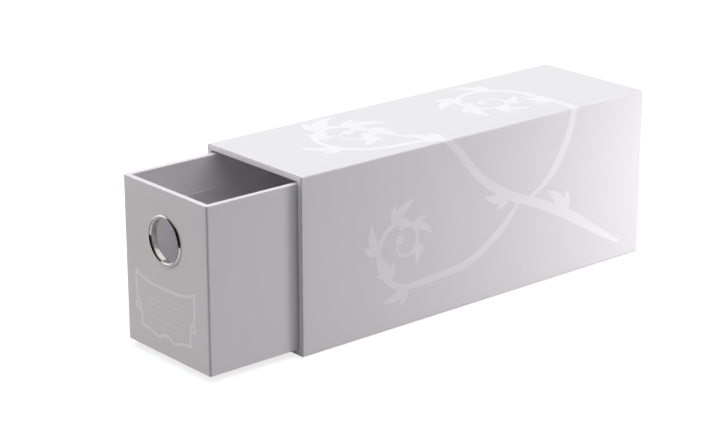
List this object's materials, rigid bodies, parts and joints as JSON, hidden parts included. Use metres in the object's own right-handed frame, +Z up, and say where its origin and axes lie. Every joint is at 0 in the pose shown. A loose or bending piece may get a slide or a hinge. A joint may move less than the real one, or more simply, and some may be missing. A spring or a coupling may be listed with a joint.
{
  "type": "trading card drawer box",
  "caption": "Rigid paper-wrapped board box for sleeved trading cards: an open-topped drawer with a metal finger ring slides out of a closed-back sleeve.",
  "frame": {"origin": "middle of the flat base of the sleeve, on the surface it stands on", "axes": "+Z up, +Y along the box towards its closed back, the drawer opens towards -Y, +X to the right seen from the drawer's front"},
  "size_m": [0.086, 0.3391, 0.107],
  "materials": {
    "wrap_paper": "white laminated paper, soft satin",
    "greyboard": "raw grey bookbinding board, hidden under the paper",
    "lining_paper": "white uncoated lining paper, matt",
    "ring_metal": "bright nickel plated steel"
  },
  "bodies": {
    "sleeve": {"sleeve_top_board": "greyboard", "sleeve_bottom_board": "greyboard", "sleeve_left_board": "greyboard", "sleeve_right_board": "greyboard", "sleeve_rear_board": "greyboard", "sleeve_wrap": "wrap_paper", "sleeve_base_sheet": "wrap_paper", "sleeve_rear_sheet": "wrap_paper", "sleeve_lining": "lining_paper", "sleeve_rear_lining": "lining_paper"},
    "drawer": {"drawer_front_board": "greyboard", "drawer_rear_board": "greyboard", "drawer_left_board": "greyboard", "drawer_right_board": "greyboard", "drawer_floor_board": "greyboard", "drawer_wrap": "wrap_paper", "drawer_wall_lining": "lining_paper", "drawer_floor_lining": "lining_paper", "finger_ring": "ring_metal", "finger_ring_washer": "ring_metal"}
  },
  "joints": [
    {"name": "drawer_slide", "type": "slide", "parent": "sleeve", "child": "drawer", "axis": [0, -1, 0], "range_m": [-0.062, 0.21]}
  ]
}
